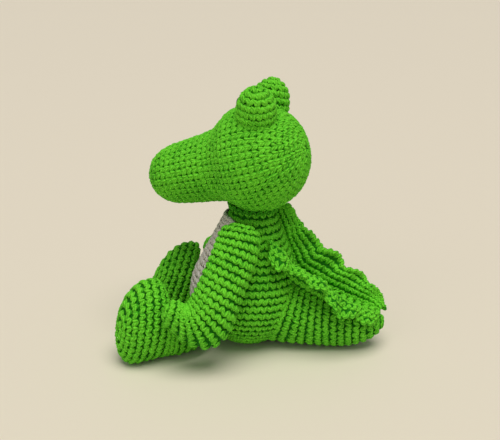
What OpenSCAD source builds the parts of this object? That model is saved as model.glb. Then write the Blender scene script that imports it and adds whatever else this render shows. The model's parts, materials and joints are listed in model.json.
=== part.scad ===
// Sitting crocheted crocodile: stuffed covers sewn together, limbs that pivot at their seams.
// It faces -Y, its own left side is +X, and it sits on Z = 0 with the origin under the torso.

/* [Yarn and covers] */
// Thickness of the crocheted fabric
fabric_t = 2.6; // [1.5:0.1:3.5]
// Room between pieces that move on each other
seam_gap = 0.4; // [0.3:0.1:0.8]

/* [Torso] */
// Largest radius of the torso
torso_r = 37; // [36:0.5:38]
// Height of the torso's widest round above the table
torso_mid_z = 35; // [34:0.5:36]
// Radius of the neck where the head is sewn on
neck_r = 15; // [13:0.2:15]
// Backward lean of the torso in degrees
torso_lean = 3.5; // [2:0.5:5]

/* [Belly patch] */
// Half width of the patch
patch_w = 27; // [18:1:30]
// Half height of the patch
patch_h = 36; // [30:1:36]
// Thickness of the patch
patch_t = 1.6; // [1:0.1:2.5]
// Turn of the patch towards the left arm in degrees
patch_turn = 8; // [0:1:12]

/* [Head] */
// Radius of the round back of the head
head_r = 35.5; // [34:0.5:36]
// Distance from the neck's pivot to the tip of the snout
snout_len = 78; // [70:1:84]
// Radius of the snout at mid length
snout_r = 21.5; // [18:0.5:23]
// Downward tilt of the snout in degrees
snout_tilt = 16; // [10:0.5:16]
// Turn of the head to its right in degrees
head_turn = 9; // [0:1:12]

/* [Eyes] */
// Sideways distance of each eye mound from the middle of the head
mound_x = 12.5; // [12.5:0.5:14]
// Radius of an eye mound
mound_r = 12; // [10:0.5:12]
// Radius of the black safety eye
eye_r = 3.8; // [3:0.2:4]

/* [Arms] */
// Half thickness of an arm, from the inner to the outer side
arm_t = 10.5; // [8:0.5:11]
// Half width of an arm, from front to back
arm_w = 18; // [16:0.5:18.5]

/* [Legs] */
// Radius of the leg where it is sewn to the torso
hip_r = 14; // [11:0.5:14]
// Half width of the foot
foot_w = 17.3; // [15:0.1:18]
// Half height of the foot
foot_h = 28.3; // [24:0.1:29]

/* [Tail] */
// Radius of the tail at its root
tail_r = 25; // [22:0.5:25]
// Distance from the torso's middle to the tip of the tail
tail_len = 95; // [88:1:97]

/* [Hidden] */

$fn = 64;
yarn_green = [0.36, 0.74, 0.16];
patch_grey = [0.72, 0.70, 0.66];
filling_white = [0.93, 0.93, 0.90];

torso_mid = [0, 0, torso_mid_z];
torso_axis = [0, sin(torso_lean), cos(torso_lean)];
head_height = 96;
head_mid = torso_mid + head_height * torso_axis;
// Everything sewn to the lower torso starts outside this ball
root_ball_r = torso_r + 1.1;
fill_gap = 0.2;
sides = 24;

// ---------- Curves and skins ----------

// Catmull-Rom point between keys[i] and keys[i + 1]
function hermite(a, b, c, d, t) =
  0.5 * ((2 * b) + (c - a) * t + (2 * a - 5 * b + 4 * c - d) * t * t
         + (3 * b - a - 3 * c + d) * t * t * t);
function smooth(keys, per) =
  let (n = len(keys))
  concat(
    [for (i = [0:n - 2], j = [0:per - 1])
      hermite(keys[max(i - 1, 0)], keys[i], keys[i + 1], keys[min(i + 2, n - 1)], j / per)],
    [keys[n - 1]]
  );

function unit(v) = v / norm(v);

// Ellipse of points round centre c, with half axes a and b given as vectors
function ring(c, a, b) =
  [for (i = [0:sides - 1]) c + a * cos(360 * i / sides) + b * sin(360 * i / sides)];

// Faces between consecutive rings of m points each; the first point index is "base"
function band(m, count, base) =
  [for (i = [0:count - 2], j = [0:m - 1], upper = [0, 1])
    let (
      a = base + i * m + j,
      b = base + i * m + (j + 1) % m,
      c = base + (i + 1) * m + (j + 1) % m,
      d = base + (i + 1) * m + j
    )
    upper ? [a, c, d] : [a, b, c]];

// Closed solid through a stack of rings
module plug(rings) {
  m = len(rings[0]);
  n = len(rings);
  polyhedron(
    points = [for (r = rings, p = r) p],
    faces = concat(
      band(m, n, 0),
      [[for (j = [m - 1:-1:0]) j]],
      [[for (j = [0:m - 1]) (n - 1) * m + j]]
    ),
    convexity = 6
  );
}

// Open pouch: an outer skin and an inner skin joined round the rim at their first rings
module pouch(outer, inner) {
  m = len(outer[0]);
  n = len(outer);
  k = len(inner);
  rim = [for (r = concat([for (i = [k - 1:-1:0]) inner[i]], outer)) r];
  polyhedron(
    points = [for (r = rim, p = r) p],
    faces = concat(
      band(m, n + k, 0),
      [[for (j = [m - 1:-1:0]) j]],
      [[for (j = [0:m - 1]) (n + k - 1) * m + j]]
    ),
    convexity = 8
  );
}

// ---------- Torso ----------

// Profile of the torso: distance along its axis from torso_mid, and radius
torso_keys = [
  [-36.6, 5], [-34.4, 12.5], [-31, 18.6], [-26, 25], [-17.5, 32], [-8, 36], [0, torso_r],
  [8, 36.4], [15, 34.4], [25, 30], [35, 25.6], [48, 19.6], [55, 16.8], [60, neck_r], [67, neck_r]
];
torso_profile = smooth(torso_keys, 3);

function torso_radius(s) =
  lookup(s, torso_profile);

module torso_solid(grow, top = 67) {
  low = torso_profile[0][0] - grow;
  translate(torso_mid) rotate([-torso_lean, 0, 0])
    rotate_extrude()
      polygon(concat(
        [[0, low]],
        [for (p = torso_profile) if (p[0] <= top) [p[1] + grow, p[0] - (p[0] < -20 ? grow : 0)]],
        [[0, top]]
      ));
}

module above_table(z = 0) {
  translate([-200, -200, z]) cube([400, 400, 300]);
}

module head_clearance(grow) {
  translate(head_mid) sphere(r = head_r + grow);
}

module torso_cover() {
  color(yarn_green)
    difference() {
      intersection() {
        torso_solid(0);
        above_table();
      }
      torso_solid(-fabric_t, 70);
      head_clearance(seam_gap);
    }
}

module torso_stuffing() {
  color(filling_white)
    difference() {
      intersection() {
        torso_solid(-fabric_t - fill_gap);
        above_table(1.6);
      }
      head_clearance(seam_gap);
    }
}

// The neck's sewing yarn lies in the crease between torso and head
seam_yarn_r = 0.7;
seam_ring_r = neck_r + seam_gap + seam_yarn_r;
seam_drop = sqrt(pow(head_r + seam_gap + seam_yarn_r, 2) - pow(seam_ring_r, 2));

module neck_seam() {
  color(yarn_green)
    translate(head_mid) rotate([-torso_lean, 0, 0]) translate([0, 0, -seam_drop])
      rotate_extrude() translate([seam_ring_r, 0]) circle(r = seam_yarn_r);
}

module patch_outline() {
  polygon([for (a = [0:10:350])
    let (c = cos(a), s = sin(a), k = pow(pow(abs(c), 2.4) + pow(abs(s), 2.4), -1 / 2.4))
    [patch_w * k * c, patch_h * k * s]]);
}

patch_mid_z = 56.5;

module belly_patch() {
  color(patch_grey)
    intersection() {
      difference() {
        torso_solid(patch_t + 0.2, 60);
        torso_solid(0.2, 64);
      }
      translate([0, 0, patch_mid_z]) rotate([90, 0, patch_turn])
        linear_extrude(60) patch_outline();
    }
}

// ---------- Head ----------

module at_head() {
  translate(head_mid) rotate([90 + snout_tilt, 0, -head_turn]) children();
}

// Profile of the head: distance along the snout from head_mid, and radius
head_profile = concat(
  [for (a = [170:-10:70]) [head_r * cos(a), head_r * sin(a)]],
  [[19, snout_r + 6.6], [25, snout_r + 3], [38, snout_r + 1], [50, snout_r - 0.3], [62, snout_r - 2],
   [snout_len - 8, snout_r - 5.5], [snout_len - 3, snout_r - 10.5], [snout_len - 0.6, snout_r - 15.7]]
);

module head_solid(grow) {
  at_head()
    rotate_extrude()
      polygon(concat(
        [[0, -head_r - grow]],
        [for (p = head_profile) [p[1] + grow, p[0] + grow * p[0] / snout_len]],
        [[0, snout_len + grow]]
      ));
}

module head_cover() {
  color(yarn_green)
    difference() {
      head_solid(0);
      head_solid(-fabric_t);
      for (side = [1, -1]) at_mound(side) translate([0, 0, -14]) cylinder(r = 4, h = 20);
    }
}

module head_stuffing() {
  color(filling_white) head_solid(-fabric_t - fill_gap);
}

// ---------- Eye mounds ----------

module at_mound(side) {
  translate(head_mid) rotate([0, 0, -head_turn]) translate([side * mound_x, 3.5, 27])
    rotate([-6, side * 14, 0]) children();
}

mound_profile = [
  [-5, 8], [-2, 10.5], [3, 12], [9, 12], [15, 10.6], [19.5, 7.5], [22.2, 3.4]
];
mound_tip = 23;

module mound_solid(side, grow) {
  at_mound(side)
    rotate_extrude()
      polygon(concat(
        [[0, mound_profile[0][0]]],
        [for (p = smooth(mound_profile, 2))
          [(p[1] + grow) * mound_r / 12, p[0] + (p[0] > 3 ? grow * (p[0] - 3) / 20 : 0)]],
        [[0, mound_tip + grow]]
      ));
}

// The eye looks forward from the front of its mound, turned a little towards the other eye
eye_height = 10;
eye_turn = -15;
washer_r = 3.6;

module at_eye(side) {
  at_mound(side) translate([0, 0, eye_height]) rotate([90, 0, side * eye_turn])
    translate([0, 0, mound_r]) children();
}

module eye_mound(side) {
  color(yarn_green)
    difference() {
      mound_solid(side, 0);
      mound_solid(side, -fabric_t);
      head_solid(0.15);
      at_eye(side) translate([0, 0, -6]) cylinder(r = 1.8, h = 10);
      // Each mound is sewn along the middle of the head, clear of the other one
      translate(head_mid) rotate([0, 0, -head_turn]) translate([side > 0 ? -40.1 : 0.1, -30, 0])
        cube([40, 60, 80]);
    }
}

module mound_stuffing(side) {
  color(filling_white)
    difference() {
      mound_solid(side, -fabric_t - fill_gap);
      head_solid(0.4);
      at_eye(side) translate([0, 0, -11]) cylinder(r = 6.4, h = 14);
      translate(head_mid) rotate([0, 0, -head_turn]) translate([side > 0 ? -38 : -2, -30, 0])
        cube([40, 60, 80]);
    }
}

// Black domed safety eye with its post
module eye(side) {
  color("black")
    at_eye(side) {
      translate([0, 0, 0.2]) intersection() {
        translate([0, 0, eye_r * -0.6]) sphere(r = eye_r * 1.17);
        cylinder(r = eye_r, h = 8);
      }
      translate([0, 0, -8]) cylinder(r = 1.5, h = 8.4);
    }
}

module eye_washer(side) {
  color("white")
    at_eye(side) translate([0, 0, -5.7]) difference() {
      cylinder(r = washer_r, h = 1.2);
      translate([0, 0, -1]) cylinder(r = 1.56, h = 4);
    }
}

// ---------- Arms ----------

// Centre, half thickness, half width and bend of the left arm, from the shoulder to the hand's tip.
// The bend is the angle between straight down and the way the arm points, turned forward.
arm_pivot = [30, 0, 86];
arm_keys = [
  [arm_pivot, 9, arm_w - 4, 8],
  [[35.5, -2.5, 74], 9.6, arm_w - 2, 20],
  [[41.8, -7, 61], 10, arm_w - 1.8, 26],
  [[46.5, -11.5, 48], arm_t, arm_w - 1, 32],
  [[49, -16, 37.5], arm_t + 0.3, arm_w + 0.3, 44],
  [[50.8, -23, 31], arm_t + 0.3, arm_w - 0.7, 62],
  [[52.8, -31.5, 32.5], arm_t - 0.5, arm_w - 4.2, 84],
  [[54.5, -38.5, 38.5], 8, 10, 106]
];
// Outward run of the arm for each unit of its length
arm_spread = 0.35;
arm_steps = 2;
arm_mid = smooth([for (k = arm_keys) k[0]], arm_steps);
arm_size = smooth([for (k = arm_keys) [k[1], k[2], k[3]]], arm_steps);
arm_count = len(arm_mid);

// Ring of the arm number i, moved along the arm by "along" and scaled by k, wall thickness off
function arm_ring(i, along, k, off) =
  let (c = cos(arm_size[i][2]), s = sin(arm_size[i][2]))
  ring(
    arm_mid[i] + unit([arm_spread, -s, -c]) * along,
    unit([1, arm_spread * s, arm_spread * c]) * max(arm_size[i][0] * k - off, 0.3),
    [0, c, -s] * max(arm_size[i][1] * k - off, 0.3)
  );

// Rounded ends: quarter circles of rings before the shoulder and past the hand
function arm_rings(off, rim) = concat(
  [for (a = [rim:18:72]) arm_ring(0, -(9 - off) * cos(a), sin(a), off * sin(a))],
  [for (i = [0:arm_count - 1]) arm_ring(i, 0, 1, off)],
  [for (a = [70:-20:10]) arm_ring(arm_count - 1, (7 - off) * cos(a), sin(a), off * sin(a))]
);

module arm_cover() {
  color(yarn_green) pouch(arm_rings(0, 36), arm_rings(fabric_t, 36));
}

module arm_stuffing() {
  color(filling_white) plug(arm_rings(fabric_t + 2 * fill_gap, 18));
}

// Each arm hangs out from its shoulder by some degrees; the right one mirrors the left
left_arm_out = 4.5;
right_arm_out = 7;

module at_arm(side, out) {
  mirror([side > 0 ? 0 : 1, 0, 0])
    translate(arm_pivot) rotate([0, -out, 0]) translate(-arm_pivot) children();
}

// ---------- Legs ----------

// Distance along the leg from the hip, half width, half height and height of the centre
leg_keys = [
  [0, hip_r, hip_r, 14.4], [8, hip_r + 0.6, hip_r + 0.6, 14.8], [13, 15.4, 18.5, 18.9],
  [17.5, 16.3, foot_h - 4, foot_h - 3.6], [24, foot_w - 0.2, foot_h - 0.7, foot_h - 0.3],
  [31.5, foot_w, foot_h, foot_h + 0.2], [38.5, foot_w - 0.7, foot_h - 1.7, foot_h - 0.9],
  [44, foot_w - 4.1, foot_h - 7, foot_h - 2], [47.3, foot_w - 9, foot_h - 15, foot_h - 3]
];
leg_tip = 46.3;

// The foot's top leans back towards the torso: "lean" is the shift back for each unit of height
function leg_ring(t, w, h, z, lean) =
  [for (p = ring([t, 0, z], [0, -w, 0], [0, 0, h]))
    [p[0] - (t > 3 ? lean * (p[2] - 14) * min((t - 3) / 20, 1) : 0), p[1], p[2]]];

function leg_rings(off, rim, lean) =
  let (body = smooth(leg_keys, 2), tip = leg_keys[len(leg_keys) - 1])
  concat(
    [for (a = [rim:18:72])
      leg_ring(-(hip_r - off) * cos(a), (hip_r - off) * sin(a), (hip_r - off) * sin(a), 14.4, lean)],
    [for (k = body) if (k[0] < leg_tip - off) leg_ring(k[0], k[1] - off, k[2] - off, k[3], lean)],
    [leg_ring(tip[0] + 0.4 - off, max(tip[1] - off, 2), max(tip[2] - off, 3), tip[3], lean),
     leg_ring(tip[0] + 1.6 - off, 1.5, 2.2, tip[3], lean)]
  );

module leg_cover(lean) {
  color(yarn_green) pouch(leg_rings(0, 36, lean), leg_rings(fabric_t, 36, lean));
}

module leg_stuffing(lean) {
  color(filling_white) plug(leg_rings(fabric_t + fill_gap, 18, lean));
}

// Each leg lies on the table: place of its hip, the direction it points in from +X, and foot's lean
left_hip = [28, -38.6, 0];
left_leg_angle = -54;
left_foot_lean = 0.17;
right_hip = [-32.5, -33, 0];
right_leg_angle = -78;
right_foot_lean = 0.36;

module at_leg(hip, angle) {
  translate(hip) rotate([0, 0, angle]) children();
}

// ---------- Tail ----------

// Distance behind the torso's middle, height of the centre, half width and half height
tail_keys = [
  [34, 26.2, tail_r, tail_r], [42, 24.2, tail_r - 1.2, tail_r - 1.3], [51, 21.8, 21.6, 21.5],
  [60, 19.4, 19.2, 19.2], [70, 17.6, 16.6, 16.6], [79, 17.4, 14, 14], [86, 18, 11, 11],
  [tail_len - 4.5, 18.8, 7.6, 7.6], [tail_len - 1.6, 19.2, 4.2, 4.2]
];

// A point of the tail's root moved back on to the ball round the lower torso
function on_root_ball(p, off) =
  let (q = p - torso_mid)
  [p[0], torso_mid[1] + sqrt(max(pow(root_ball_r + off, 2) - q[0] * q[0] - q[2] * q[2], 0)), p[2]];

function tail_ring(k, scale_by, off) =
  ring([0, k[0], k[1]], [(k[2] - off) * scale_by, 0, 0], [0, 0, (k[3] - off) * scale_by]);

function tail_rings(off, rim) =
  let (body = smooth(tail_keys, 2), root = body[0], tip = tail_keys[len(tail_keys) - 1])
  concat(
    [for (k = rim) [for (p = tail_ring(root, k, off)) on_root_ball(p, 0.2)]],
    [for (i = [1:len(body) - 1]) if (body[i][2] - off > 1.5)
      [for (p = tail_ring(body[i], 1, off))
        [p[0], max(p[1], on_root_ball(p, 0.2)[1] + 0.4 * i), p[2]]]],
    [tail_ring([tip[0] + 1.3 - off, tip[1], 1.4, 1.4], 1, 0)]
  );

module tail_cover() {
  color(yarn_green) pouch(tail_rings(0, [1]), tail_rings(fabric_t, [1]));
}

module tail_stuffing() {
  color(filling_white) plug(tail_rings(fabric_t + fill_gap, [0.1, 0.4, 0.7, 1]));
}

// ---------- Frills ----------

frill_t = 2.6;

// Ruffled strip between a sewn edge and a free edge
function strip_rings(sewn, free, waves, depth) =
  let (n = len(sewn))
  [for (i = [0:n - 1])
    let (
      along = unit(sewn[min(i + 1, n - 1)] - sewn[max(i - 1, 0)]),
      out = unit(free[i] - sewn[i]),
      side = unit(cross(along, out)),
      half = side * frill_t / 2,
      edge = free[i] + side * depth * sin(360 * waves * i / (n - 1))
    )
    [sewn[i] + half, edge + half, edge - half, sewn[i] - half]];

module strip(sewn, free, waves) {
  plug(strip_rings(smooth(sewn, 5), smooth(free, 5), waves, 1.6));
}

module left_back_frill() {
  color(yarn_green)
    strip(
      [[21, 17.5, 76], [19.5, 24, 68], [18.5, 29, 60], [16.5, 33, 55]],
      [[26, 22, 79], [29, 29, 70], [30, 34, 60], [28, 39, 53.5]], 1.5
    );
}

module right_back_frill() {
  color(yarn_green)
    strip(
      [[-7.5, 20.7, 93], [-8, 23.9, 82], [-8, 28.4, 70], [-8, 32.4, 60], [-8, 35, 55]],
      [[-9, 31, 96], [-11, 37, 84], [-11.5, 41, 73], [-11, 44, 66], [-11, 46, 63]], 1.5
    );
}

module left_tail_frill() {
  color(yarn_green)
    strip(
      [[13, 51, 41.4], [12.5, 62, 35.4], [12, 74, 29.6], [9, 84, 27.8], [5, 91, 25.8]],
      [[29, 53, 43], [28, 63, 35], [23, 75, 29], [18, 85, 29], [12, 93, 28]], 2
    );
}

module right_tail_frill() {
  color(yarn_green)
    strip(
      [[-8, 51, 43.7], [-7.5, 62, 38.2], [-7, 74, 33.2], [-5.5, 84, 30.2], [-3, 91, 27.4]],
      [[-12, 53, 61], [-12.5, 64, 55.5], [-13, 76, 47], [-11, 87, 39], [-5, 94, 31]], 2
    );
}

head_cover();
head_stuffing();
neck_seam();
eye_mound(1);  // left_eye_mound
eye_mound(-1);  // right_eye_mound
mound_stuffing(1);  // left_mound_stuffing
mound_stuffing(-1);  // right_mound_stuffing
eye(1);  // left_eye
eye(-1);  // right_eye
eye_washer(1);  // left_eye_washer
eye_washer(-1);  // right_eye_washer
torso_cover();
torso_stuffing();
belly_patch();
at_arm(1, left_arm_out) arm_cover();  // left_arm_cover
at_arm(-1, right_arm_out) arm_cover();  // right_arm_cover
at_arm(1, left_arm_out) arm_stuffing();  // left_arm_stuffing
at_arm(-1, right_arm_out) arm_stuffing();  // right_arm_stuffing
at_leg(left_hip, left_leg_angle) leg_cover(left_foot_lean);  // left_leg_cover
at_leg(right_hip, right_leg_angle) leg_cover(right_foot_lean);  // right_leg_cover
at_leg(left_hip, left_leg_angle) leg_stuffing(left_foot_lean);  // left_leg_stuffing
at_leg(right_hip, right_leg_angle) leg_stuffing(right_foot_lean);  // right_leg_stuffing
tail_cover();
tail_stuffing();
left_back_frill();
right_back_frill();
left_tail_frill();
right_tail_frill();
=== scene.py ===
"""Sitting stuffed crocodile, crocheted in single crochet rounds and sewn together.
Lengths inside the shape functions are in millimetres; mesh_piece() writes them in metres."""

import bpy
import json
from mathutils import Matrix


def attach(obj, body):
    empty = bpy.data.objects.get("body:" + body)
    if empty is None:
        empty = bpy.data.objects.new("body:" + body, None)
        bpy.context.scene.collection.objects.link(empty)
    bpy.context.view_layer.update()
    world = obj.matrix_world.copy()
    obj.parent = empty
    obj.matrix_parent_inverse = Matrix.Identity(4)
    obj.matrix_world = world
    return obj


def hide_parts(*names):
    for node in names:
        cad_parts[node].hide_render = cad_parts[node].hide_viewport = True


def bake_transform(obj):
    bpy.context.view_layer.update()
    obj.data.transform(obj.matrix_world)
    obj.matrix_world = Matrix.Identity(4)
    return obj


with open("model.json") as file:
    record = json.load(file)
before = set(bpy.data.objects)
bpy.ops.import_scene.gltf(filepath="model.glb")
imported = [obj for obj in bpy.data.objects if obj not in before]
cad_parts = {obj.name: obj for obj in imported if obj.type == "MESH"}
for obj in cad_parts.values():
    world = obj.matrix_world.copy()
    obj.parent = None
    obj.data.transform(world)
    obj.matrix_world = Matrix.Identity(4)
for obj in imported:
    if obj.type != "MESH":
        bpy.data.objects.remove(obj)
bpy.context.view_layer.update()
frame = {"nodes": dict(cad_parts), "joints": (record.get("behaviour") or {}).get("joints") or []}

# ---------- Torso ----------
# A pear-shaped cover of acrylic worsted yarn, worked upwards in rounds from the seat to the neck,
# stuffed with polyester fibre. Its seat is pressed flat by the table.
import json
import math
import bpy
import numpy as np

MM = 0.001
joints = {j["name"]: j for j in frame["joints"]}
head_mid = np.array(joints["head_turn"]["pos_m"]) / MM
torso_axis = np.array(joints["head_turn"]["axis"])
torso_mid = np.array(joints["tail_wag"]["pos_m"]) / MM
stitch_width, round_height = 4.7, 5.2
yarn_half_width, yarn_half_height, yarn_fuzz = 1.48, 1.28, 0.11
yarn_sides, samples_per_stitch = 8, 10
yarn_depth, backing_depth, table_clearance = 1.1, 1.5, 0.05
ply_pitch, plies = 3.4, 4
rng = np.random.default_rng(7)


def unit(v):
    """Vectors scaled to length one along their last axis."""
    return v / np.maximum(np.linalg.norm(v, axis=-1, keepdims=True), 1e-9)


def smooth(keys, steps):
    """Catmull-Rom curve through the rows of keys, with steps samples from each row to the next."""
    k = np.asarray(keys, float)
    i = np.repeat(np.arange(len(k) - 1), steps)
    t = (np.tile(np.arange(steps), len(k) - 1) / steps).reshape((-1,) + (1,) * (k.ndim - 1))
    a, b, c, d = k[np.maximum(i - 1, 0)], k[i], k[i + 1], k[np.minimum(i + 2, len(k) - 1)]
    between = (2 * b + (c - a) * t + (2 * a - 5 * b + 4 * c - d) * t**2
               + (3 * b - a - 3 * c + d) * t**3) / 2
    return np.concatenate([between, k[-1:]])


def turned(profile, origin, axis, side, count=120):
    """Surface of revolution: every (distance along axis, radius) row of profile becomes one ring,
    origin + distance * axis + radius * (cos * e1 + sin * e2)."""
    e1 = unit(side - (side @ axis) * axis)
    turn = (np.arange(count) * 2 * math.pi / count)[None, :, None]
    spoke = np.cos(turn) * e1 + np.sin(turn) * np.cross(axis, e1)
    return origin + profile[:, 0, None, None] * axis + profile[:, 1, None, None] * spoke


def spread(lines, count, closed):
    """Points spaced evenly by arc length along each line of points; a closed line returns to its start."""
    whole = np.concatenate([lines, lines[:, :1]], axis=1) if closed else lines
    run = np.cumsum(np.linalg.norm(np.diff(whole, axis=1), axis=2), axis=1)
    run = np.concatenate([np.zeros((len(run), 1)), run], axis=1) / np.maximum(run[:, -1:], 1e-9)
    want = np.arange(count) / count if closed else np.linspace(0, 1, count)
    return np.stack([np.stack([np.interp(want, r, w[:, c]) for c in range(3)], axis=1)
                     for r, w in zip(run, whole)])


def even(grid, rows, cols, closed=True):
    """The same surface with points evenly spaced along each ring and rings evenly spaced between them."""
    grid = spread(grid, cols, closed)
    run = np.cumsum(np.linalg.norm(np.diff(grid, axis=0), axis=2).mean(axis=1))
    run = np.concatenate([[0], run])
    place = np.interp(np.linspace(0, run[-1], rows), run, np.arange(len(run)))
    low = np.minimum(place.astype(int), len(grid) - 2)
    part = (place - low)[:, None, None]
    return grid[low] * (1 - part) + grid[low + 1] * part


def grid_normals(grid, closed=True):
    """Unit normals: cross product of the steps round the ring and along the surface."""
    if closed:
        round_it = np.roll(grid, -1, axis=1) - np.roll(grid, 1, axis=1)
    else:
        round_it = np.gradient(grid, axis=1)
    return unit(np.cross(round_it, np.gradient(grid, axis=0)))


def grid_quads(rows, cols, closed=True):
    """Quads between neighbouring points of a grid, wrapped round where it is closed."""
    i, j = np.meshgrid(np.arange(rows - 1), np.arange(cols if closed else cols - 1), indexing="ij")
    a, b = i * cols + j, i * cols + (j + 1) % cols
    return np.stack([a, b, b + cols, a + cols], axis=-1).reshape(-1, 4)


def capped(grid):
    """A closed grid of rings with a middle point at each end: its points, quads and end triangles."""
    rows, cols = grid.shape[:2]
    points = np.concatenate([grid.reshape(-1, 3), grid[:1].mean(axis=1), grid[-1:].mean(axis=1)])
    j = np.arange(cols)
    k, low, high = (j + 1) % cols, rows * cols, rows * cols + 1
    last = (rows - 1) * cols
    ends = np.concatenate([np.stack([k, j, np.full(cols, low)], axis=1),
                           np.stack([last + j, last + k, np.full(cols, high)], axis=1)])
    return points, grid_quads(rows, cols), ends


def outward(grid):
    """The grid with its rings reversed if its normals point inwards."""
    lean = (grid_normals(grid) * (grid - grid.mean(axis=1, keepdims=True))).sum()
    return grid if lean > 0 else grid[:, ::-1]


def mesh_piece(name, parts, materials):
    """One mesh object from parts, each a dict of points (mm), quads, tris, material index, and optional
    per-corner uv of the quads and per-point height."""
    points, starts, corners, slots, uvs, heights = [], [], [], [], [], []
    base = corner = 0
    for p in parts:
        quads = np.asarray(p["quads"]).reshape(-1, 4)
        tris = np.asarray(p.get("tris", [])).reshape(-1, 3).astype(int)
        points.append(p["points"])
        corners.append(np.concatenate([quads.ravel(), tris.ravel()]) + base)
        sizes = np.concatenate([np.full(len(quads), 4), np.full(len(tris), 3)])
        starts.append(corner + np.concatenate([[0], np.cumsum(sizes)[:-1]]))
        slots.append(np.full(len(sizes), p["slot"]))
        uv = p.get("uv", np.zeros((quads.size, 2))).reshape(-1, 2)
        uvs.append(np.concatenate([uv, np.zeros((tris.size, 2))]))
        heights.append(p.get("height", np.zeros(len(p["points"]))))
        base += len(p["points"])
        corner += int(sizes.sum())
    points = np.concatenate(points)
    mesh = bpy.data.meshes.new(name)
    mesh.vertices.add(len(points))
    mesh.vertices.foreach_set("co", (points * MM).astype(np.float32).ravel())
    mesh.loops.add(corner)
    mesh.loops.foreach_set("vertex_index", np.concatenate(corners).astype(np.int32))
    starts = np.concatenate(starts).astype(np.int32)
    mesh.polygons.add(len(starts))
    mesh.polygons.foreach_set("loop_start", starts)
    mesh.polygons.foreach_set("material_index", np.concatenate(slots).astype(np.int32))
    mesh.polygons.foreach_set("use_smooth", np.ones(len(starts), bool))
    mesh.uv_layers.new(name="yarn").data.foreach_set("uv", np.concatenate(uvs).astype(np.float32).ravel())
    mesh.attributes.new("height", "FLOAT", "POINT").data.foreach_set(
        "value", np.concatenate(heights).astype(np.float32))
    mesh.update(calc_edges=True)
    for material in materials:
        mesh.materials.append(material)
    piece = bpy.data.objects.new(name, mesh)
    bpy.context.scene.collection.objects.link(piece)
    return piece


net_rows, net_cols, net_scale, net_frames, net_finer = 30, 36, 10, 20, 5
sewn_rings = 3


def stuffed(grid, swell):
    """Cloth simulation of a cover blown out by its filling. The cover is a net of rings, net_scale times
    life size; its first rings are sewn fast, pressure acts for net_frames, and no point moves over swell
    mm. The net is then made net_finer times as fine with smooth curves."""
    net = even(grid, net_rows, net_cols)
    points, quads, tris = capped(net)
    part = {"points": points * net_scale, "quads": quads, "tris": tris, "slot": 0}
    trial = mesh_piece("net", [part], [])
    pins = trial.vertex_groups.new(name="sewn")
    pins.add(list(range(net_cols * sewn_rings)) + [len(points) - 2], 1.0, "REPLACE")
    cloth = trial.modifiers.new("filling", "CLOTH")
    cloth.settings.mass = 0.12
    cloth.settings.use_pressure = True
    cloth.settings.uniform_pressure_force = 4
    cloth.settings.effector_weights.gravity = 0
    cloth.settings.vertex_group_mass = "sewn"
    cloth.point_cache.frame_end = net_frames
    for number in range(1, net_frames + 1):
        bpy.context.scene.frame_set(number)
    blown = trial.evaluated_get(bpy.context.evaluated_depsgraph_get()).data
    place = np.zeros(len(blown.vertices) * 3, np.float32)
    blown.vertices.foreach_get("co", place)
    bpy.data.objects.remove(trial)
    bpy.context.scene.frame_set(1)
    moved = place.reshape(-1, 3)[:-2].reshape(net.shape) / (net_scale * MM) - net
    far = np.linalg.norm(moved, axis=2, keepdims=True)
    moved *= np.minimum(1, swell / np.maximum(far, 1e-9))
    net = net + moved
    wide = np.concatenate([net[:, -2:], net, net[:, :3]], axis=1)
    wide = smooth(smooth(wide, net_finer).swapaxes(0, 1), net_finer).swapaxes(0, 1)
    return wide[:, 2 * net_finer:(2 + net_cols) * net_finer]


def yarn_tube(path, normal, after, before, wide, ends=()):
    """Yarn with an oval section swept along path: points, quads, tris, sheared UV so that stripes along U
    wind round it as its plies do. after and before are the neighbours of each path point. Every point's
    distance from the path varies by yarn_fuzz, as loose fibres do."""
    tangent = unit(path[after] - path[before])
    side = unit(np.cross(normal, tangent))
    up = np.cross(tangent, side)
    turn = np.arange(yarn_sides) * 2 * math.pi / yarn_sides
    ring = (side[:, None] * (np.cos(turn)[None, :, None] * wide[:, None, None])
            + up[:, None] * (np.sin(turn) * yarn_half_height)[None, :, None])
    ring = path[:, None] + ring * (1 + yarn_fuzz * rng.standard_normal((len(path), yarn_sides, 1)))
    here = np.flatnonzero(after != np.arange(len(path)))
    there = after[here]
    j = np.arange(yarn_sides)
    k = (j + 1) % yarn_sides
    a, b = here[:, None] * yarn_sides, there[:, None] * yarn_sides
    quads = np.stack([a + j, a + k, b + k, b + j], axis=-1).reshape(-1, 4)
    step = np.linalg.norm(path[there] - path[here], axis=1)
    run = np.concatenate([[0], np.cumsum(step)[:-1]])
    u0, u1 = run[:, None] / ply_pitch, (run + step)[:, None] / ply_pitch
    v0, v1 = j[None] / yarn_sides, (j[None] + 1) / yarn_sides
    corners = ((u0, v0), (u0, v1), (u1, v1), (u1, v0))
    uv = np.stack([np.stack([u + plies * v, v + 0 * u], -1) for u, v in corners], axis=2)
    points, tris = ring.reshape(-1, 3), np.zeros((0, 3), int)
    for end, flip in ends:
        rim = end[:, None] * yarn_sides + (j if not flip else j[::-1])
        tip = len(points) + np.arange(len(end))
        tris = np.concatenate([tris, np.stack([rim, np.roll(rim, -1, axis=1),
                                               np.repeat(tip[:, None], yarn_sides, 1)], -1).reshape(-1, 3)])
        points = np.concatenate([points, path[end]])
    return points, quads, tris, uv


def look_up(grid, row, col, closed):
    """Bilinear reading of a grid at fractional rows and columns."""
    rows, cols = grid.shape[:2]
    r = np.clip(row, 0, rows - 1.001)
    i, s = r.astype(int), (r % 1)[:, None]
    if closed:
        c = col % cols
        j, k = c.astype(int) % cols, (c.astype(int) + 1) % cols
    else:
        c = np.clip(col, 0, cols - 1.001)
        j, k = c.astype(int), c.astype(int) + 1
    t = (c % 1)[:, None]
    return ((grid[i, j] * (1 - t) + grid[i, k] * t) * (1 - s)
            + (grid[i + 1, j] * (1 - t) + grid[i + 1, k] * t) * s)


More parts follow.
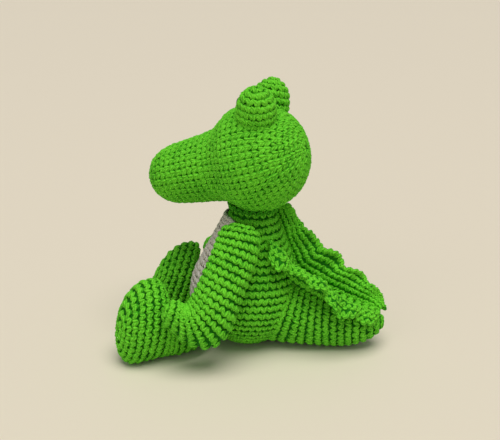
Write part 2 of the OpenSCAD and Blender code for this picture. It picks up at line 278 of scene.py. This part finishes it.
def rounds_of_yarn(grid, width=stitch_width, height=round_height, leg=0.5, closed=True, sink=yarn_depth,
                   ridge=0.8, drift=0.15, part=0.0, two_sided=False):
    """Single crochet over a surface. It is divided into rounds of the given height; each round is one yarn
    that zigzags, row = 0.5 - leg/2 * cos(2 pi g) for stitch number f, g = f + 0.09 sin(2 pi f), stands
    highest half way up each leg of the V, and dips by part between two stitches. Stitch counts go in
    sixes, as increases do, and drift sideways from round to round. The height attribute is measured
    outwards from the surface, or from the middle of the fabric either way if it is seen from both sides."""
    dense = even(grid, 200, 240, closed) if closed else even(grid, 60, 200, False)
    normal = grid_normals(dense, closed)
    rows, cols = dense.shape[:2]
    lengths = np.linalg.norm(np.diff(dense, axis=0), axis=2).mean(axis=1)
    rounds = max(1, int(round(lengths.sum() / height)))
    middle = dense[((np.arange(rounds) + 0.5) / rounds * (rows - 1)).astype(int)]
    whole = np.concatenate([middle, middle[:, :1]], axis=1) if closed else middle
    girth = np.linalg.norm(np.diff(whole, axis=1), axis=2).sum(axis=1)
    in_sixes = 6 if closed else 1
    stitches = np.maximum(in_sixes, in_sixes * np.round(girth / width / in_sixes)).astype(int)
    count = stitches * samples_per_stitch + (0 if closed else 1)
    start = np.concatenate([[0], np.cumsum(count)[:-1]])
    k = np.repeat(np.arange(rounds), count)
    n = np.arange(count.sum())
    f = (n - start[k]) / samples_per_stitch
    first = np.concatenate([[0], np.cumsum(stitches)])
    number = first[k] + f.astype(int) % stitches[k]
    loose = rng.normal(0, 1, (3, stitches.sum()))[:, number] * np.sin(math.pi * (f % 1)) ** 2
    skewed = f + 0.09 * np.sin(2 * math.pi * f)
    row = k + 0.5 - leg / 2 * np.cos(2 * math.pi * skewed) + 0.055 * loose[0]
    turn = (f + drift * k) / stitches[k] if closed else f / stitches[k]
    place = row / rounds * (rows - 1), turn * (cols if closed else cols - 1)
    up = unit(look_up(normal, *place, closed))
    high = ridge * (np.sin(2 * math.pi * f) ** 2 - 0.5) + 0.16 * loose[1]
    high = high - part * ((1 - np.cos(2 * math.pi * f)) / 2) ** 2
    path = look_up(dense, *place, closed) + up * (high - sink)[:, None]
    last = start + count - 1
    after, before = n + 1, n - 1
    if closed:
        after[last], before[start] = start, last
        ends = ()
    else:
        after[last], before[start] = last, start
        ends = ((start, True), (last, False))
    wide = yarn_half_width * (1 + 0.08 * loose[2])
    points, quads, tris, uv = yarn_tube(path, up, after, before, wide, ends)
    # The height attribute drives the material's painted shade: lower points of the yarn are coloured darker.
    body = np.repeat(high, yarn_sides) + np.tile(np.sin(np.arange(yarn_sides) * 2 * math.pi / yarn_sides)
                                                 * yarn_half_height, len(path))
    if two_sided:
        body = np.abs(body) * 1.2 - 0.3
    tone = np.concatenate([body, np.zeros(len(points) - len(body))])
    return {"points": points, "quads": quads, "tris": tris, "uv": uv, "height": tone, "slot": 0}


def backing(grid):
    """The inside of the fabric, a sheet painted dark as the shade between the stitches: the surface moved in
    along its normals, with closed ends.
    """
    net = even(grid, 60, 72)
    points, quads, tris = capped(net - grid_normals(net) * backing_depth)
    return {"points": points, "quads": quads, "tris": tris, "slot": 1}


def linear(code):
    """sRGB hex colour as linear RGBA."""
    c = np.array([int(code[i:i + 2], 16) for i in (1, 3, 5)]) / 255
    return (*np.where(c <= 0.04045, c / 12.92, ((c + 0.055) / 1.055) ** 2.4).tolist(), 1.0)


def add_node(material, kind, settings=None, inputs=None, links=None):
    """Adds a node with attribute settings, input values, and links given as {input: other node's output}."""
    node = material.node_tree.nodes.new(kind)
    for key, value in (settings or {}).items():
        setattr(node, key, value)
    for key, value in (inputs or {}).items():
        node.inputs[key].default_value = value
    for key, source in (links or {}).items():
        material.node_tree.links.new(source, node.inputs[key])
    return node


def acrylic_yarn(name, light, mid_shade, groove_shade):
    """Spun acrylic worsted yarn, four plies: matt with a soft sheen, slightly uneven dye in patches about 11
    mm wide and fibre clumps of 0.7 mm. Painted shade: by the height attribute the colour runs from light on
    the lit tops through mid_shade to groove_shade down between the stitches, and the ply grooves across it
    are painted darker."""
    material = bpy.data.materials.new(name)
    material.use_nodes = True
    shader = material.node_tree.nodes["Principled BSDF"]
    shader.inputs["Roughness"].default_value = 0.82
    shader.inputs["IOR"].default_value = 1.48
    shader.inputs["Specular IOR Level"].default_value = 0.25
    shader.inputs["Sheen Weight"].default_value = 0.12
    shader.inputs["Sheen Roughness"].default_value = 0.45
    shader.inputs["Sheen Tint"].default_value = linear(light)
    place = add_node(material, "ShaderNodeTexCoord")
    dye = add_node(material, "ShaderNodeTexNoise", inputs={"Scale": 90.0, "Detail": 3.0, "Roughness": 0.6},
                   links={"Vector": place.outputs["Object"]})
    fibres = add_node(material, "ShaderNodeTexNoise", inputs={"Scale": 1400.0, "Detail": 2.0},
                      links={"Vector": place.outputs["Object"]})
    twist = add_node(material, "ShaderNodeTexWave", {"bands_direction": "X", "wave_profile": "SIN"},
                     {"Scale": 0.1 * math.pi, "Distortion": 0.0}, {"Vector": place.outputs["UV"]})
    high = add_node(material, "ShaderNodeAttribute", {"attribute_name": "height"})
    # Painted shade: lower points of the yarn, down between the stitches, take darker colours.
    painted_shade_by_height = add_node(material, "ShaderNodeMapRange", inputs={"From Min": -1.5, "From Max": 1.1},
                     links={"Value": high.outputs["Fac"]})
    uneven = add_node(material, "ShaderNodeMapRange",
                      inputs={"From Min": 0.3, "From Max": 0.7, "To Min": -0.18, "To Max": 0.18},
                      links={"Value": dye.outputs["Fac"]})
    # Painted shade in the ply grooves: the ply stripes move the colour along the same lit-to-shaded ramp.
    ply = add_node(material, "ShaderNodeMapRange", inputs={"To Min": -0.28, "To Max": 0.14},
                   links={"Value": twist.outputs["Fac"]})
    shade_and_dye = add_node(material, "ShaderNodeMath", {"operation": "ADD"},
                       links={0: painted_shade_by_height.outputs[0], 1: uneven.outputs[0]})
    total = add_node(material, "ShaderNodeMath", {"operation": "ADD"},
                     links={0: shade_and_dye.outputs[0], 1: ply.outputs[0]})
    # Ramp of painted shade: groove_shade low between the stitches, then mid_shade, then light on the lit
    # tops.
    ramp = add_node(material, "ShaderNodeValToRGB", links={"Fac": total.outputs[0]})
    ramp.color_ramp.elements[0].color = linear(groove_shade)
    ramp.color_ramp.elements[1].color = linear(light)
    ramp.color_ramp.elements.new(0.45).color = linear(mid_shade)
    relief = add_node(material, "ShaderNodeMath", {"operation": "MULTIPLY_ADD"}, {1: 0.6},
                      {0: fibres.outputs["Fac"], 2: twist.outputs["Fac"]})
    bump = add_node(material, "ShaderNodeBump", inputs={"Strength": 0.9, "Distance": 0.0006},
                    links={"Height": relief.outputs[0]})
    material.node_tree.links.new(ramp.outputs["Color"], shader.inputs["Base Color"])
    material.node_tree.links.new(bump.outputs["Normal"], shader.inputs["Normal"])
    return material


def painted_shade_fabric_inside(name, dark, colour):
    """The back of the stitches, seen only between them, in colours painted dark as shade there: matt, fluff
    of 1.4 mm.
    """
    material = bpy.data.materials.new(name)
    material.use_nodes = True
    shader = material.node_tree.nodes["Principled BSDF"]
    shader.inputs["Roughness"].default_value = 0.95
    shader.inputs["Specular IOR Level"].default_value = 0.2
    place = add_node(material, "ShaderNodeTexCoord")
    fluff = add_node(material, "ShaderNodeTexNoise", inputs={"Scale": 700.0, "Detail": 2.0},
                     links={"Vector": place.outputs["Object"]})
    ramp = add_node(material, "ShaderNodeValToRGB", links={"Fac": fluff.outputs["Fac"]})
    ramp.color_ramp.elements[0].color = linear(dark)
    ramp.color_ramp.elements[1].color = linear(colour)
    material.node_tree.links.new(ramp.outputs["Color"], shader.inputs["Base Color"])
    return material


# Lit green, painted mid shade and painted shade between the stitches.
green_yarn = acrylic_yarn("green_acrylic_yarn", "#76E02E", "#36A20A", "#075400")
green_inside_shade = painted_shade_fabric_inside("green_yarn_inside_painted_shade", "#136406", "#1F7C0C")


def stuffed_piece(name, grid, body, nodes, fill, swell, seat=None, **stitch):
    """A stuffed crochet cover: simulated, pressed flat at z = seat, covered with rounds of yarn that the
    table flattens too, and attached to its body."""
    grid = stuffed(outward(grid), swell)
    if seat is not None:
        grid[..., 2] = np.maximum(grid[..., 2], seat)
    yarn = rounds_of_yarn(grid, **stitch)
    if seat is not None:
        yarn["points"][:, 2] = np.maximum(yarn["points"][:, 2], table_clearance)
    # The backing is painted dark green as the shade seen between the stitches.
    piece = mesh_piece(name, [yarn, backing(grid)], [green_yarn, green_inside_shade])
    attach(piece, body)
    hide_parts(*nodes)
    return piece


torso_keys = [
    [-36.6, 5], [-34.4, 12.5], [-31, 18.6], [-26, 25], [-17.5, 32], [-8, 36], [0, 37], [8, 36.4], [15, 34.4],
    [25, 30], [35, 25.6], [48, 19.6], [55, 16.8], [60, 15], [63.4, 15]]
torso_profile = smooth(torso_keys, 8)
front = np.array([0.0, -1.0, 0.0])
stuffed_piece("torso_crochet", turned(torso_profile, torso_mid, torso_axis, front), "torso",
              ["torso_cover", "torso_stuffing"], fill=0.8, swell=1.2, seat=0.1)

# ---------- Belly patch ----------
# A flat oval worked in short rows of warm light grey yarn and laid on the belly, sewn down round its
# edge. Its yarn lies on a thin closed backing, which is the sheet itself, painted dark grey as shade between
# the stitches.
# Lit grey, painted mid shade and painted shade between the stitches.
grey_yarn = acrylic_yarn("grey_acrylic_yarn", "#D9D2C6", "#B9B0A4", "#6E665C")
grey_inside_shade = painted_shade_fabric_inside("grey_yarn_inside_painted_shade", "#57514A", "#7D766C")
patch_half_width, patch_half_height, patch_mid_z, patch_turn = 27.0, 36.0, 56.5, math.radians(8)


def torso_distance(points):
    """How far points lie outside the torso's surface of revolution, measured square to its axis."""
    along = (points - torso_mid) @ torso_axis
    off = np.linalg.norm(points - torso_mid - along[..., None] * torso_axis, axis=-1)
    return off - np.interp(along, torso_profile[:, 0], torso_profile[:, 1])


def onto_torso(start, direction):
    """The point of the torso's surface on each line, found by halving the reach thirty times."""
    near, far = np.zeros(start.shape[:-1]), np.full(start.shape[:-1], 60.0)
    for _ in range(30):
        half = (near + far) / 2
        outside = torso_distance(start + half[..., None] * direction) > 0
        near, far = np.where(outside, near, half), np.where(outside, half, far)
    return start + near[..., None] * direction


def patch_grid(rows=60, cols=60):
    """Rows from side to side of the superellipse |x/w|^2.4 + |z/h|^2.4 = 1, thrown forward on to the
    torso along the patch's own direction."""
    z = np.linspace(-0.97, 0.97, rows)[:, None]
    x = (1 - np.abs(z) ** 2.4) ** (1 / 2.4) * np.linspace(-1, 1, cols)[None]
    ahead = np.array([math.sin(patch_turn), -math.cos(patch_turn), 0.0])
    across = np.array([math.cos(patch_turn), math.sin(patch_turn), 0.0])
    start = (x[..., None] * patch_half_width * across
             + (z * patch_half_height + patch_mid_z + 0 * x)[..., None] * np.array([0, 0, 1.0]))
    return onto_torso(start, ahead)


def open_sheet(grid, thick):
    """A closed thin sheet, thick either side of an open grid: two faces and a rim."""
    rows, cols = grid.shape[:2]
    normal = grid_normals(grid, closed=False)
    points = np.concatenate([(grid + normal * thick).reshape(-1, 3), (grid - normal * thick).reshape(-1, 3)])
    top = grid_quads(rows, cols, closed=False)
    under = top[:, ::-1] + rows * cols
    n = np.arange(rows * cols).reshape(rows, cols)
    edge = np.concatenate([n[0, :-1], n[:-1, -1], n[-1, :0:-1], n[:0:-1, 0]])
    after = np.roll(edge, -1)
    rim = np.stack([edge + rows * cols, after + rows * cols, after, edge], axis=1)
    return {"points": points, "quads": np.concatenate([top, under, rim]), "slot": 0}


patch = patch_grid()
patch_lift = 1.6
patch_normal = grid_normals(patch, closed=False)
patch = patch if (patch_normal @ front).mean() > 0 else patch[:, ::-1]
patch = patch + grid_normals(patch, closed=False) * patch_lift
under_yarn = even(patch[2:-2, 2:-2], 40, 40, False)
patch_sheet = mesh_piece("belly_patch_sheet", [open_sheet(under_yarn, 0.5)], [grey_inside_shade])
patch_yarn = mesh_piece("belly_patch_stitches",
                        [rounds_of_yarn(patch, closed=False, width=4.4, height=4.6, sink=-0.1, leg=0.7)],
                        [grey_yarn])
for piece in (patch_sheet, patch_yarn):
    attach(piece, "torso")
    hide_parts("belly_patch")

# ---------- Tail ----------
# A tapering stuffed cone worked from its tip, its open end sewn round the low back of the torso.
# It lies on the table and turns up a little at the tip.
root_ball, root_blend = 35.4, 24.0
tail_keys = [
    [34, 26.2, 25, 25], [42, 24.2, 23.8, 23.7], [51, 21.8, 21.6, 21.5], [60, 19.4, 19.2, 19.2],
    [70, 17.6, 16.6, 16.6], [79, 17.4, 14, 14], [86, 18, 11, 11], [90.5, 18.8, 7.6, 7.6],
    [93.4, 19.2, 4.2, 4.2], [94.6, 19.2, 1.4, 1.4]]


def tail_grid(count=120):
    """Upright oval rings from the root to the tip. The first ring lies on the ball of the lower torso;
    over root_blend mm the rings straighten, y + (ball - y0) * (1 - (y - y0) / root_blend)^2."""
    k = smooth(tail_keys, 8)[:, None]
    turn = np.arange(count) * 2 * math.pi / count
    x, y, z = k[..., 2] * np.cos(turn), k[..., 0] + 0 * turn, k[..., 1] + k[..., 3] * np.sin(turn)
    ball = np.sqrt(np.maximum(root_ball**2 - x[:1] ** 2 - (z[:1] - torso_mid[2]) ** 2, 15.0**2))
    y = y + (torso_mid[1] + ball - y[:1]) * (1 - np.clip((y - y[:1]) / root_blend, 0, 1)) ** 2
    return np.stack([x, y, z], axis=-1)


stuffed_piece("tail_crochet", tail_grid(), "tail", ["tail_cover", "tail_stuffing"],
              fill=0.75, swell=1.0, seat=0.1)

# ---------- Frills ----------
# Two ruffled strips, each crocheted in a few long rows and gathered on to the back and the tail
# by its inner edge. The left one flops outward, the right one stands. Both bend where the tail joins.

def frill_grid(sewn, crest, free, waves, rows=24, cols=220):
    """Strip over three lines: w runs 0 to 1 across it, through a at 0, b at 0.5 and c at 1, as the
    parabola a (1-w)(1-2w) + 4 b w (1-w) + c w (2w-1). The free edge also sways sideways, 2 w^2 sin, and
    its reach varies by 0.35 w^2 (|sin| - 0.6), which scallops it."""
    a, b, c = [spread(smooth(edge, 12)[None], cols, False)[0] for edge in (sewn, crest, free)]
    t = np.linspace(0, 1, cols)[None, :, None]
    w = np.linspace(0, 1, rows)[:, None, None]
    grid = a * (1 - w) * (1 - 2 * w) + 4 * b * w * (1 - w) + c * w * (2 * w - 1)
    side = unit(np.cross(np.gradient(c, axis=0), c - b))
    scallop = 0.35 * (np.abs(np.sin(math.pi * waves * t)) - 0.6)
    return grid + w**2 * (side * 2.0 * np.sin(2 * math.pi * waves * t + 0.6) + (c - b) * scallop)


def frill(name, sewn, crest, free, waves, node_names):
    """One frill as a thin closed sheet, painted dark green as shade between the rows, with its rows of yarn
    on it, bent between torso and tail. The sheet stops two grid rows short of the free edge, under the last
    row of yarn."""
    grid = frill_grid(sewn, crest, free, waves)
    sheet = mesh_piece(name, [open_sheet(even(grid[:-2], 16, 160, False), 0.45)], [green_inside_shade])
    rows = rounds_of_yarn(grid, width=4.4, height=4.4, closed=False, sink=0, two_sided=True)
    yarn = mesh_piece(name + "_stitches", [rows], [green_yarn])
    for piece in (sheet, yarn):
        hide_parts(*node_names)
        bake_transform(piece)


frill("left_frill",
      [[16, 14, 77], [16.5, 20, 68], [15, 24, 60], [13, 28.5, 53], [12, 40.5, 43.5], [11, 50, 38.5],
       [10.5, 61, 32.5], [9.5, 73, 27], [6.5, 83, 25.5], [2.5, 90, 23.5]],
      [[22, 19, 80.2], [22, 24.9, 76.4], [21, 31.5, 66.5], [20, 39.1, 61.1], [19, 45.7, 57.9],
       [18, 52.9, 54], [17, 61.5, 45], [15, 72.6, 37.5], [11, 83.5, 31.5], [7, 90.5, 27.5]],
      [[30, 19.7, 72.2], [31, 25.8, 65.1], [27, 33.5, 62.6], [27, 40.6, 59.2], [28, 48.1, 53.8],
       [28, 56.1, 48.1], [27, 63.3, 33.5], [22.5, 71.5, 31.4], [17, 80.5, 25.8], [12.5, 88, 21]],
      6, ["left_back_frill", "left_tail_frill"])
frill("right_frill",
      [[-7, 13.5, 95.3], [-7.5, 19, 82], [-8, 24.5, 70], [-8, 28.5, 60], [-8, 32, 52], [-8, 41, 44.5],
       [-8, 50, 39.5], [-7.5, 61, 34.5], [-7, 73, 29.5], [-5.5, 83, 27], [-3, 90, 24]],
      [[-7.5, 23, 96.5], [-8, 29, 83], [-8, 33, 71.5], [-8, 37.5, 64], [-8, 41, 58.5], [-8, 47, 54.5],
       [-8, 54, 50.5], [-8, 64, 45.5], [-8, 76, 40], [-7, 87, 34.5], [-4, 93.5, 28.5]],
      [[-9, 25.5, 98.2], [-11, 32, 86.5], [-11, 38.9, 82], [-11.5, 45, 72.5], [-11.5, 52, 68.5],
       [-11.5, 58, 65], [-12, 67.5, 54.5], [-12, 76, 49.5], [-12, 84.2, 42], [-8, 92.4, 33], [-5, 94.5, 24]],
      5, ["right_back_frill", "right_tail_frill"])

# ---------- Legs ----------
# Each leg is a short stuffed tube ending in a big upright foot; it is sewn on low at the front, and
# the heel and the underside rest on the table.
leg_keys = [
    [0, 14, 14, 14.4], [8, 14.6, 14.6, 14.8], [13, 15.4, 18.5, 18.9], [17.5, 16.3, 24.3, 24.7],
    [24, 17.1, 27.6, 28], [31.5, 17.3, 28.3, 28.5], [38.5, 16.6, 26.6, 27.4], [44, 13.2, 21.3, 26.3],
    [47.3, 8.3, 13.3, 25.3], [48.9, 1.5, 2.2, 25.3]]
hip_ring = leg_keys[0]


def leg_grid(hip, angle, lean, count=120):
    """Upright oval rings along the leg, started by a rounded end behind the hip. The rings lean back
    above the hip's height, more towards the toes, and the whole is turned about the hip."""
    a = np.radians(np.linspace(20, 80, 7))
    start = np.stack([-hip_ring[1] * np.cos(a), hip_ring[1] * np.sin(a), hip_ring[1] * np.sin(a),
                      np.full(7, hip_ring[3])], axis=1)
    k = np.concatenate([start, smooth(leg_keys, 8)])[:, None]
    turn = np.arange(count) * 2 * math.pi / count
    z = k[..., 3] + k[..., 2] * np.sin(turn)
    back = lean * (z - 14) * np.clip((k[..., 0] - 3) / 20, 0, 1)
    x, y = k[..., 0] - back, k[..., 1] * np.cos(turn)
    c, s = math.cos(angle), math.sin(angle)
    return np.stack([hip[0] + c * x - s * y, hip[1] + s * x + c * y, z], axis=-1)


for side, angle, lean in (("left", -54, 0.17), ("right", -78, 0.36)):
    hip = np.array(joints[side + "_leg_splay"]["pos_m"]) / MM
    stuffed_piece(side + "_leg_crochet", leg_grid(hip, math.radians(angle), lean), side + "_leg",
                  [side + "_leg_cover", side + "_leg_stuffing"], fill=0.85, swell=1.0, seat=0.3)

# ---------- Arms ----------
# Long flat stuffed arms, widest above the hand, sewn on at the shoulders. They hang down the sides
# with the hands forward on the legs.
arm_keys = [
    [30, 0, 86, 9, 14, 8], [35.5, -2.5, 74, 9.6, 16, 20], [41.8, -7, 61, 10, 16.2, 26],
    [46.5, -11.5, 48, 10.5, 17, 32], [49, -16, 37.5, 10.8, 18.3, 44], [50.8, -23, 31, 10.8, 17.3, 62],
    [52.8, -31.5, 32.5, 10, 13.8, 84], [54.5, -38.5, 38.5, 8, 10, 106]]
arm_spread = 0.35
shoulder_end, hand_end = 9.0, 7.0
arms_out = {"left": (1, math.radians(4.5)), "right": (-1, math.radians(7))}


def arm_grid(side, out, count=120):
    """Oval rings along the arm's middle line. Each key gives centre, half thickness, half width and
    bend, the angle from straight down to the way the arm points there; quarter circles close the ends.
    The arm is swung outward about the shoulder, and mirrored for the right side."""
    k = smooth(arm_keys, 8)
    first, last = np.radians(np.linspace(15, 80, 8)), np.radians(np.linspace(80, 12, 8))
    k = np.concatenate([np.repeat(k[:1], 8, axis=0), k, np.repeat(k[-1:], 8, axis=0)])
    size = np.concatenate([np.sin(first), np.ones(len(k) - 16), np.sin(last)])[:, None]
    along = np.concatenate([-shoulder_end * np.cos(first), np.zeros(len(k) - 16), hand_end * np.cos(last)])
    s, c, o = np.sin(np.radians(k[:, 5])), np.cos(np.radians(k[:, 5])), np.zeros(len(k))
    forward = unit(np.stack([o + arm_spread, -s, -c], axis=1))
    thin = unit(np.stack([o + 1, arm_spread * s, arm_spread * c], axis=1)) * k[:, 3:4] * size
    wide = np.stack([o, c, -s], axis=1) * k[:, 4:5] * size
    turn = (np.arange(count) * 2 * math.pi / count)[None, :, None]
    mid = k[:, :3] + forward * along[:, None]
    grid = mid[:, None] + thin[:, None] * np.cos(turn) + wide[:, None] * np.sin(turn)
    pivot = np.array(arm_keys[0][:3])
    q = grid - pivot
    c, s = math.cos(out), math.sin(out)
    grid = pivot + np.stack([q[..., 0] * c - q[..., 2] * s, q[..., 1], q[..., 0] * s + q[..., 2] * c], -1)
    return grid * np.array([side, 1, 1])


for name, (side, out) in arms_out.items():
    stuffed_piece(name + "_arm_crochet", arm_grid(side, out), name + "_arm",
                  [name + "_arm_cover", name + "_arm_stuffing"], fill=0.6, swell=1.2)

# ---------- Head ----------
# One stuffed piece worked from the tip of the snout back over the round cranium, in slightly
# tighter stitches; its columns run along the snout.
head_turn, snout_tilt, head_r = math.radians(9), math.radians(16), 35.5
right_of_head = np.array([math.cos(head_turn), -math.sin(head_turn), 0.0])
back_of_head = np.array([math.sin(head_turn), math.cos(head_turn), 0.0])
snout = -back_of_head * math.cos(snout_tilt) + np.array([0, 0, -math.sin(snout_tilt)])
cranium = np.radians(np.arange(176, 69, -4))
head_profile = np.concatenate([
    head_r * np.stack([np.cos(cranium), np.sin(cranium)], axis=1),
    smooth([[19, 28.1], [25, 24.5], [38, 22.5], [50, 21.2], [62, 19.5], [70, 16], [75, 11], [77.4, 5.8],
            [78.2, 1.2]], 6)])
stuffed_piece("head_crochet", turned(head_profile, head_mid, snout, right_of_head), "head",
              ["head_cover", "head_stuffing"], fill=0.9, swell=0.6,
              width=4.4, height=4.3, leg=0.8, ridge=0.5, drift=0.0, part=0.7)

# ---------- Eye mounds ----------
# Two small stuffed domes sewn side by side on top of the head, leaning apart a little.
mound_keys = [[-5, 8], [-2, 10.5], [3, 12], [9, 12], [15, 10.6], [19.5, 7.5], [22.2, 3.4], [23, 1]]
mound_place = {"left": 1, "right": -1}


def mound_frame(side):
    """Origin, upward axis and rightward axis of an eye mound: 12.5 mm to the side, 27 mm above the
    head's middle, leaning 14 degrees outward and 6 degrees forward."""
    lean, tip = math.radians(14 * side), math.radians(-6)
    up = np.array([math.sin(lean), -math.cos(lean) * math.sin(tip), math.cos(lean) * math.cos(tip)])
    right = np.array([math.cos(lean), math.sin(lean) * math.sin(tip), -math.sin(lean) * math.cos(tip)])
    turn = np.stack([right_of_head, back_of_head, np.array([0, 0, 1.0])], axis=1)
    return head_mid + turn @ np.array([12.5 * side, 3.5, 27]), turn @ up, turn @ right


for name, side in mound_place.items():
    origin, up, right = mound_frame(side)
    stuffed_piece(name + "_eye_mound_crochet", turned(smooth(mound_keys, 8), origin, up, right), "head",
                  [name + "_eye_mound", name + "_mound_stuffing"], fill=0.9, swell=0.4,
                  width=4.4, height=4.4, leg=0.6, sink=0.5)

# ---------- Safety eyes ----------
# Black domed safety eyes of polished moulded ABS; each post goes through the fabric into a washer of
# natural polythene on the inside.
def moulded_plastic(name, ior, roughness, grain, dark, light):
    """Moulded plastic whose colour varies faintly between dark and light over 1000 / grain mm."""
    material = bpy.data.materials.new(name)
    material.use_nodes = True
    shader = material.node_tree.nodes["Principled BSDF"]
    shader.inputs["IOR"].default_value = ior
    shader.inputs["Roughness"].default_value = roughness
    place = add_node(material, "ShaderNodeTexCoord")
    haze = add_node(material, "ShaderNodeTexNoise", inputs={"Scale": grain, "Detail": 2.0},
                    links={"Vector": place.outputs["Object"]})
    tone = add_node(material, "ShaderNodeValToRGB", links={"Fac": haze.outputs["Fac"]})
    tone.color_ramp.elements[0].color = linear(dark)
    tone.color_ramp.elements[1].color = linear(light)
    material.node_tree.links.new(tone.outputs["Color"], shader.inputs["Base Color"])
    return material


polished_abs = moulded_plastic("polished_black_abs", 1.53, 0.08, 260.0, "#060607", "#141416")
polished_abs.node_tree.nodes["Principled BSDF"].inputs["Coat Weight"].default_value = 0.3
washer_polythene = moulded_plastic("moulded_natural_polythene", 1.51, 0.45, 500.0, "#DAD8D0", "#F2F1EC")
for side in mound_place:
    for node_name, finish in ((side + "_eye", polished_abs), (side + "_eye_washer", washer_polythene)):
        mesh = frame["nodes"][node_name].data
        mesh.materials.clear()
        mesh.materials.append(finish)

# ---------- Neck seam ----------
# Whip stitches of the same yarn, pulled tight in the crease between the torso and the head.
seam_ring_r, seam_half_width, whip_stitches = 16.1, 1.5, 22
seam_drop = math.sqrt(36.6**2 - seam_ring_r**2)


def whip_seam():
    """A closed yarn round the neck that climbs and falls whip_stitches times over the crease."""
    count = whip_stitches * 12
    a = np.arange(count) * 2 * math.pi / count
    e1 = unit(front - (front @ torso_axis) * torso_axis)
    spoke = np.cos(a)[:, None] * e1 + np.sin(a)[:, None] * np.cross(torso_axis, e1)
    climb = seam_half_width * np.cos(whip_stitches * a)
    path = head_mid + spoke * (seam_ring_r + 0.3 * climb)[:, None] + torso_axis * (climb - seam_drop)[:, None]
    n = np.arange(count)
    points, quads, tris, uv = yarn_tube(path, spoke, (n + 1) % count, (n - 1) % count, np.full(count, 0.9))
    return {"points": points, "quads": quads, "tris": tris, "uv": uv, "slot": 0}


neck_piece = mesh_piece("neck_stitching", [whip_seam()], [green_yarn])
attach(neck_piece, "neck")
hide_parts("neck_seam")

# ---------- Table, lights and camera ----------
# A plain pale table top of matt laminate, a broad soft light overhead and a weaker one from the
# camera's side.
table_top = bpy.data.materials.new("pale_matt_laminate")
table_top.use_nodes = True
table_shader = table_top.node_tree.nodes["Principled BSDF"]
table_shader.inputs["Base Color"].default_value = linear("#E8DDC6")
table_shader.inputs["Roughness"].default_value = 0.6
table_half = 30.0
floor_mesh = bpy.data.meshes.new("table")
floor_corners = [(table_half * x, table_half * y, 0) for x, y in ((-1, -1), (1, -1), (1, 1), (-1, 1))]
floor_mesh.from_pydata(floor_corners, [], [(0, 1, 2, 3)])
floor_mesh.materials.append(table_top)
table = bpy.data.objects.new("table", floor_mesh)
bpy.context.scene.collection.objects.link(table)


def soft_light(name, place, width, strength):
    """Even light from the direction of place, soft as from a panel width degrees across."""
    data = bpy.data.lights.new(name, "SUN")
    data.angle, data.energy = math.radians(width), strength
    light = bpy.data.objects.new(name, data)
    bpy.context.scene.collection.objects.link(light)
    light.rotation_euler = (math.acos(place[2] / np.linalg.norm(place)), 0, math.atan2(place[0], -place[1]))


soft_light("overhead", (0.25, 0.15, 1.1), 45, 2.3)
soft_light("fill", (1.2, -0.5, 0.6), 60, 0.35)
world = bpy.data.worlds.new("studio")
world.use_nodes = True
world.node_tree.nodes["Background"].inputs["Color"].default_value = linear("#F1F0F4")
world.node_tree.nodes["Background"].inputs["Strength"].default_value = 0.24
bpy.context.scene.world = world
bpy.context.scene.view_settings.view_transform = "Standard"

camera_aim = np.array([0.0, 0.0, 0.075])
camera_azimuth, camera_elevation, camera_distance = math.radians(10), math.radians(20.5), 0.56
camera_data = bpy.data.cameras.new("camera")
camera_data.lens = 59.3
camera_data.shift_x, camera_data.shift_y = 0.004, 0.034
camera = bpy.data.objects.new("camera", camera_data)
bpy.context.scene.collection.objects.link(camera)
away = np.array([math.cos(camera_elevation) * math.cos(camera_azimuth),
                 math.cos(camera_elevation) * math.sin(camera_azimuth), math.sin(camera_elevation)])
camera.location = camera_aim + camera_distance * away
camera.rotation_euler = (math.pi / 2 - camera_elevation, 0, camera_azimuth + math.pi / 2)
bpy.context.scene.camera = camera
